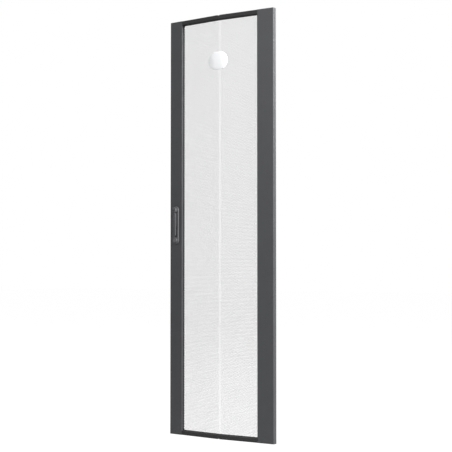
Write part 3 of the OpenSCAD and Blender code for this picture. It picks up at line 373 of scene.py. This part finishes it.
def lattice_piece(name, row_from, row_to):
    sheet = Sheet()
    here = {cell for cell in CELLS if row_from <= cell[1] < row_to}
    open_here = {cell for cell in here if is_open(cell)}
    holes = {cell: hole_points(sheet, cell) for cell in sorted(open_here)}
    for cell in sorted(here):
        c, r = cell
        if cell not in open_here:
            sheet.plate(*[corner_point(sheet, cell, k) for k in range(6)])
        for k in range(6):
            nk = (k + 1) % 6
            other = (c + ACROSS_SIDE[k][0], r + ACROSS_SIDE[k][1])
            if cell in open_here:
                a, b = holes[cell][k], holes[cell][nk]
                sheet.wall(a, b)
                if other in open_here:
                    if other > cell:
                        far = holes[other]
                        # the facing side of the other hole, which runs the other way round
                        sheet.plate(b, a, far[(k + 4) % 6], far[(k + 3) % 6])
                else:
                    sheet.plate(b, a, corner_point(sheet, cell, k), corner_point(sheet, cell, nk))
            if other not in here:
                sheet.wall(corner_point(sheet, cell, nk), corner_point(sheet, cell, k))
        for k in range(6):
            # the three cells that share corner k: this one and those across sides k - 1 and k
            first = (c + ACROSS_SIDE[k - 1][0], r + ACROSS_SIDE[k - 1][1])
            second = (c + ACROSS_SIDE[k][0], r + ACROSS_SIDE[k][1])
            if cell not in open_here:
                continue
            trio = [(cell, k), (first, (k + 2) % 6), (second, (k + 4) % 6)]
            found = [(t, j) for t, j in trio if t in open_here]
            if cell != min(t for t, _ in found):
                continue
            ids = [holes[t][j] for t, j in found]
            if len(found) == 3:
                sheet.plate(*ids)
            elif len(found) == 2:
                middle = corner_point(sheet, cell, k)
                order = {trio[0]: 0, trio[1]: 1, trio[2]: 2}
                gap = ({0, 1, 2} - {order[f] for f in found}).pop()
                ids.insert(gap, middle)
                sheet.plate(*ids)
    return add_piece(name, sheet.mesh(name), "perforated_panel")


def margin_piece(name):
    """The plain strip round the lattice, out to the sheet's edges."""
    sheet = Sheet()
    x0, x1, z0, z1 = panel_low.x, panel_high.x, panel_low.z, panel_high.z

    def side(sign):
        """The lattice's zigzag edge on one side, from the bottom up."""
        chain = []
        for r in range(ROWS):
            cell = max((c for c in CELLS if c[1] == r), key=lambda c: sign * c[0])
            corners = [5, 0] if sign > 0 else [3, 2]
            for k in corners:
                dx, dz = CORNERS[k]
                key = (cell[0] + dx, 3 * r + dz)
                chain.append(key)
        return chain

    def key_point(key):
        return sheet.point(CREASE_X + key[0] * PITCH / 2, ROW_Z + key[1] * CELL_R / 2, key)

    for sign, edge in ((1, x1), (-1, x0)):
        chain = side(sign)
        border = [sheet.point(edge, ROW_Z + key[1] * CELL_R / 2, (edge, key[1])) for key in chain]
        inner = [key_point(key) for key in chain]
        for i in range(len(chain) - 1):
            if sign > 0:
                sheet.plate(inner[i], border[i], border[i + 1], inner[i + 1])
                sheet.wall(inner[i], inner[i + 1])
                sheet.wall(border[i + 1], border[i])
            else:
                sheet.plate(border[i], inner[i], inner[i + 1], border[i + 1])
                sheet.wall(inner[i + 1], inner[i])
                sheet.wall(border[i], border[i + 1])
    for r, edge, sign in ((0, z0, -1), (ROWS - 1, z1, 1)):
        row = sorted(c for c in CELLS if c[1] == r)
        chain = []
        for c in row:
            for k in ([2, 1, 0] if sign > 0 else [3, 4, 5]):
                dx, dz = CORNERS[k]
                key = (c[0] + dx, 3 * r + dz)
                if not chain or chain[-1] != key:
                    chain.append(key)
        xs = [CREASE_X + key[0] * PITCH / 2 for key in chain]
        inner = [key_point(key) for key in chain]
        border = [sheet.point(x, edge, (x, edge)) for x in xs]
        ends = [sheet.point(x0, edge, (x0, edge)), sheet.point(x1, edge, (x1, edge))]
        sides = [(x0, chain[0][1]), (x1, chain[-1][1])]
        edges = [sheet.known[s] for s in sides]
        inner = [edges[0]] + inner + [edges[1]]
        border = [ends[0]] + border + [ends[1]]
        for i in range(len(inner) - 1):
            a, b, c, d = inner[i], inner[i + 1], border[i + 1], border[i]
            if sign > 0:
                sheet.plate(a, b, c, d)
                sheet.wall(c, d)
            else:
                sheet.plate(d, c, b, a)
                sheet.wall(d, c)
            if 0 < i < len(inner) - 2:
                sheet.wall(b, a) if sign > 0 else sheet.wall(a, b)
        if sign > 0:
            sheet.wall(ends[0], edges[0])
            sheet.wall(edges[1], ends[1])
        else:
            sheet.wall(edges[0], ends[0])
            sheet.wall(ends[1], edges[1])
    return add_piece(name, sheet.mesh(name), "perforated_panel")


PARTS = 4
for part in range(PARTS):
    lattice_piece(f"panel_lattice_{part + 1}", ROWS * part // PARTS, ROWS * (part + 1) // PARTS)
margin_piece("panel_margin")


# ---- Rounded copies of the solid pieces ----

for node, width in {
    "handle_base": 0.8, "handle_hub": 0.7, "handle_lever": 1.3, "gearbox_housing": 0.5,
    "gearbox_cover": 0.5, "latch_cam": 0.3, "lock_cam": 0.25,
    "lower_hinge_bracket": 0.3, "upper_hinge_bracket": 0.3,
    "upper_rod_guide_mid": 0.5, "upper_rod_guide_end": 0.5,
    "lower_rod_guide_mid": 0.5, "lower_rod_guide_end": 0.5,
    "badge": 1.2, "hinge_knob": 0.5, "lock_cylinder": 0.25, "upper_roller": 0.4, "lower_roller": 0.4,
    "bumpers": 0.4,
}.items():
    softened(node, width)


# ---- The hinge's spring, built as a fixed coil; the real one shortens as the pin is drawn ----

def wound_spring():
    """A round wire wound between the bracket's foot and the pin's collar."""
    low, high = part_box("hinge_spring")
    wire = 0.65 * MM
    reach = (high.x - low.x) / 2 - wire
    foot, top = low.z + wire, high.z - wire
    turns, steps, round_steps = 7, 40, 12
    count = turns * steps
    verts, faces = [], []
    for i in range(count + 1):
        t = i / count
        closed = 1.1 / turns
        climb = min(max((t - closed) / (1 - 2 * closed), 0), 1)
        around = 2 * math.pi * turns * t
        pitch_in = 2.2 * wire * (min(t, closed) + max(t - 1 + closed, 0)) / closed / 2
        z = foot + pitch_in + climb * (top - foot - 2.2 * wire)
        out = Vector((math.cos(around), math.sin(around), 0))
        for k in range(round_steps):
            a = 2 * math.pi * k / round_steps
            verts.append(out * (reach + wire * math.cos(a)) + UP * (z + wire * math.sin(a)))
    for i in range(count):
        for k in range(round_steps):
            n = (k + 1) % round_steps
            a, b = i * round_steps, (i + 1) * round_steps
            faces.append([a + k, a + n, b + n, b + k])
    faces.append([k for k in range(round_steps)][::-1])
    faces.append([count * round_steps + k for k in range(round_steps)])
    mesh = bpy.data.meshes.new("spring")
    mesh.from_pydata([tuple(v) for v in verts], [], faces)
    bm = bmesh.new()
    bm.from_mesh(mesh)
    bmesh.ops.recalc_face_normals(bm, faces=bm.faces)
    bm.to_mesh(mesh)
    bm.free()
    mesh.shade_smooth()
    spring = add_piece("spring_wound", mesh, "hinge_spring")
    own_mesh(spring)


wound_spring()


# ---- Floor, light and background ----

def stage_floor():
    bpy.ops.mesh.primitive_plane_add(size=60, location=(0, 0, LOW.z - 0.0005))
    floor = bpy.context.active_object
    floor.name = "floor"
    mat = bpy.data.materials.new("floor")
    mat.use_nodes = True
    tree = mat.node_tree
    tree.nodes.clear()
    out = tree.nodes.new("ShaderNodeOutputMaterial")
    mix = tree.nodes.new("ShaderNodeMixShader")
    lit = tree.nodes.new("ShaderNodeBsdfDiffuse")
    glow = tree.nodes.new("ShaderNodeEmission")
    path = tree.nodes.new("ShaderNodeLightPath")
    part = tree.nodes.new("ShaderNodeMath")
    part.operation = "MULTIPLY"
    part.inputs[1].default_value = 0.9
    lit.inputs["Color"].default_value = (0.6, 0.6, 0.6, 1)
    glow.inputs["Color"].default_value = (1, 1, 1, 1)
    glow.inputs["Strength"].default_value = 1.1
    link(tree, path, "Is Camera Ray", part, 0)
    link(tree, part, "Value", mix, "Fac")
    link(tree, lit, "BSDF", mix, 1)
    link(tree, glow, "Emission", mix, 2)
    link(tree, mix, "Shader", out, "Surface")
    floor.data.materials.append(mat)


def white_world(ambient):
    world = bpy.data.worlds.new("world")
    bpy.context.scene.world = world
    world.use_nodes = True
    tree = world.node_tree
    tree.nodes.clear()
    out = tree.nodes.new("ShaderNodeOutputWorld")
    mix = tree.nodes.new("ShaderNodeMixShader")
    soft = tree.nodes.new("ShaderNodeBackground")
    seen = tree.nodes.new("ShaderNodeBackground")
    path = tree.nodes.new("ShaderNodeLightPath")
    soft.inputs["Color"].default_value = seen.inputs["Color"].default_value = (1, 1, 1, 1)
    soft.inputs["Strength"].default_value = ambient
    seen.inputs["Strength"].default_value = 1
    first = tree.nodes.new("ShaderNodeMath")
    second = tree.nodes.new("ShaderNodeMath")
    first.operation = second.operation = "MAXIMUM"
    link(tree, path, "Is Camera Ray", first, 0)
    link(tree, path, "Is Glossy Ray", first, 1)
    link(tree, first, "Value", second, 0)
    link(tree, path, "Is Transmission Ray", second, 1)
    link(tree, second, "Value", mix, "Fac")
    link(tree, soft, "Background", mix, 1)
    link(tree, seen, "Background", mix, 2)
    link(tree, mix, "Shader", out, "Surface")


CENTRE = (LOW + HIGH) / 2


def lamp(name, azimuth, elevation, distance, width, height, power):
    """A soft lamp aimed at the door. Azimuth 0 is in front and 90 to the right."""
    a, e = math.radians(azimuth), math.radians(elevation)
    data = bpy.data.lights.new(name, "AREA")
    data.shape = "RECTANGLE"
    data.size, data.size_y, data.energy = width, height, power
    obj = bpy.data.objects.new(name, data)
    way = Vector((math.sin(a) * math.cos(e), -math.cos(a) * math.cos(e), math.sin(e)))
    obj.location = CENTRE + way * distance
    obj.rotation_euler = (-way).to_track_quat("-Z", "Y").to_euler()
    bpy.context.scene.collection.objects.link(obj)


stage_floor()
white_world(0.08)
lamp("side", 82, 30, 6.0, 1.6, 3.0, 960)
lamp("front", -14, 22, 6.0, 1.2, 2.4, 100)
lamp("rear", 165, 25, 6.0, 2.5, 2.5, 260)

view = bpy.context.scene.view_settings
view.view_transform = "Standard"
